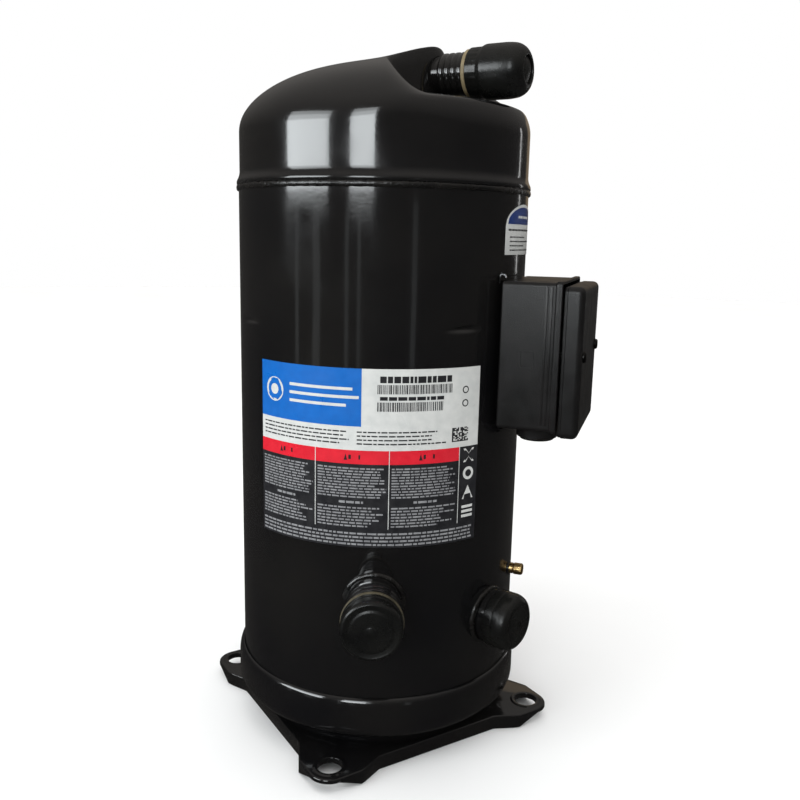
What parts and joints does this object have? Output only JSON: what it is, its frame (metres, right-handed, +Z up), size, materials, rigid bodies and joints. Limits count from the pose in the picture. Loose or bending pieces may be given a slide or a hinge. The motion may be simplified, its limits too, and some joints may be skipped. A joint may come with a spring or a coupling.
{
  "type": "hermetic scroll compressor",
  "caption": "Upright hermetic scroll compressor with a painted shell, terminal box, capped suction and discharge stubs, sight glass and a pressed base with mounting ears.",
  "frame": {"origin": "middle of the overall outline seen from above, in the plane that the feet stand on; the shell's axis is the vertical line x = -0.0145 m, y = 0.0210 m", "axes": "+Z up along the shell and the crankshaft; X and Y along the sides of the square mounting pattern; the suction stub, sight glass, terminal box and discharge stub all face the -Y side"},
  "size_m": [0.2698, 0.2832, 0.548],
  "materials": {
    "black_paint": "gloss black paint",
    "black_plastic": "satin black plastic",
    "cast_iron": "machined iron",
    "steel": "machined steel",
    "brass": "plain brass",
    "pale_seal": "pale yellow seal",
    "label_stock": "printed film",
    "sight_glass": "clear glass",
    "terminal_block_plastic": "moulded plastic",
    "green_screw": "green passivated steel",
    "sintered_steel": "sintered steel",
    "laminations": "stacked sheet steel",
    "copper_winding": "varnished copper wire",
    "cast_aluminium": "die-cast",
    "lead_sleeve": "woven sleeve"
  },
  "bodies": {
    "shell": {"center_shell": "black_paint", "top_cap": "black_paint", "separator_plate": "steel", "bottom_cap": "black_paint", "base_plate": "black_paint", "discharge_stub": "black_paint", "discharge_seal_ring": "pale_seal", "suction_stub": "black_paint", "suction_seal_ring": "pale_seal", "suction_baffle": "steel", "sight_glass_body": "black_paint", "sight_glass_lens": "sight_glass", "access_valve": "brass", "rating_label": "label_stock", "side_label": "label_stock", "terminal_box_base": "black_plastic", "conduit_plug": "black_plastic", "hermetic_terminal": "steel", "terminal_block": "terminal_block_plastic", "earth_screw": "green_screw", "fixed_scroll": "cast_iron", "main_bearing_housing": "cast_iron", "main_bearing_bush": "brass", "scroll_bolt_1": "steel", "scroll_bolt_2": "steel", "scroll_bolt_3": "steel", "scroll_bolt_4": "steel", "valve_guard": "steel", "relief_valve": "brass", "stator_core": "laminations", "upper_winding": "copper_winding", "lower_winding": "copper_winding", "motor_protector": "steel", "lower_bearing_bracket": "steel", "lower_bearing_bush": "brass", "lower_thrust_washer": "steel", "motor_leads": "lead_sleeve", "lead_connector": "black_plastic"},
    "crank": {"crankshaft": "steel", "rotor_core": "laminations", "upper_end_ring": "cast_aluminium", "lower_end_ring": "cast_aluminium", "upper_counterweight": "cast_iron", "lower_counterweight": "cast_iron", "oil_pickup": "steel", "drive_bushing": "steel"},
    "orbiter": {"orbiting_scroll": "cast_iron", "orbiting_bush": "brass"},
    "washer": {"thrust_washer": "steel"},
    "oldham": {"oldham_coupling": "sintered_steel"},
    "valve_disc": {"check_valve_disc": "steel"},
    "seal": {"floating_seal": "steel"},
    "suction_cover": {"suction_cap": "black_plastic"},
    "discharge_cover": {"discharge_cap": "black_plastic"},
    "glass_cover": {"sight_glass_cap": "black_plastic"},
    "valve_cover": {"access_valve_cap": "brass"},
    "box_lid": {"terminal_box_cover": "black_plastic", "cover_screw_1": "steel", "cover_screw_2": "steel"}
  },
  "joints": [
    {"name": "crank_spin", "type": "hinge", "parent": "shell", "child": "crank", "pos_m": [-0.0145, 0.021, 0.19], "axis": [0, 0, 1], "continuous": true},
    {"name": "orbiter_pivot", "type": "hinge", "parent": "crank", "child": "orbiter", "pos_m": [-0.00915, 0.021, 0.35], "axis": [0, 0, 1], "continuous": true},
    {"name": "washer_pivot", "type": "hinge", "parent": "crank", "child": "washer", "pos_m": [-0.01183, 0.021, 0.3605], "axis": [0, 0, 1], "continuous": true},
    {"name": "oldham_pivot", "type": "hinge", "parent": "washer", "child": "oldham", "pos_m": [-0.00915, 0.021, 0.359], "axis": [0, 0, 1], "continuous": true},
    {"name": "check_valve_lift", "type": "slide", "parent": "shell", "child": "valve_disc", "axis": [0, 0, 1], "range_m": [0, 0.0055]},
    {"name": "seal_lift", "type": "slide", "parent": "shell", "child": "seal", "axis": [0, 0, 1], "range_m": [0, 0.0017]},
    {"name": "suction_cap_pull", "type": "slide", "parent": "shell", "child": "suction_cover", "axis": [-0.5255, -0.8508, 0], "range_m": [0, 0.03]},
    {"name": "discharge_cap_pull", "type": "slide", "parent": "shell", "child": "discharge_cover", "axis": [0.5, -0.866, 0], "range_m": [0, 0.035]},
    {"name": "sight_glass_cap_pull", "type": "slide", "parent": "shell", "child": "glass_cover", "axis": [0.342, -0.9397, 0], "range_m": [0, 0.03]},
    {"name": "valve_cap_pull", "type": "slide", "parent": "shell", "child": "valve_cover", "axis": [0.6428, -0.766, 0], "range_m": [0, 0.015]},
    {"name": "box_cover_pull", "type": "slide", "parent": "shell", "child": "box_lid", "axis": [0.6494, -0.7604, 0], "range_m": [0, 0.06]}
  ],
  "couplings": [
    {"joint": "orbiter_pivot", "follows": "crank_spin", "ratio": -1},
    {"joint": "washer_pivot", "follows": "crank_spin", "ratio": -2},
    {"joint": "oldham_pivot", "follows": "crank_spin", "ratio": 1}
  ]
}
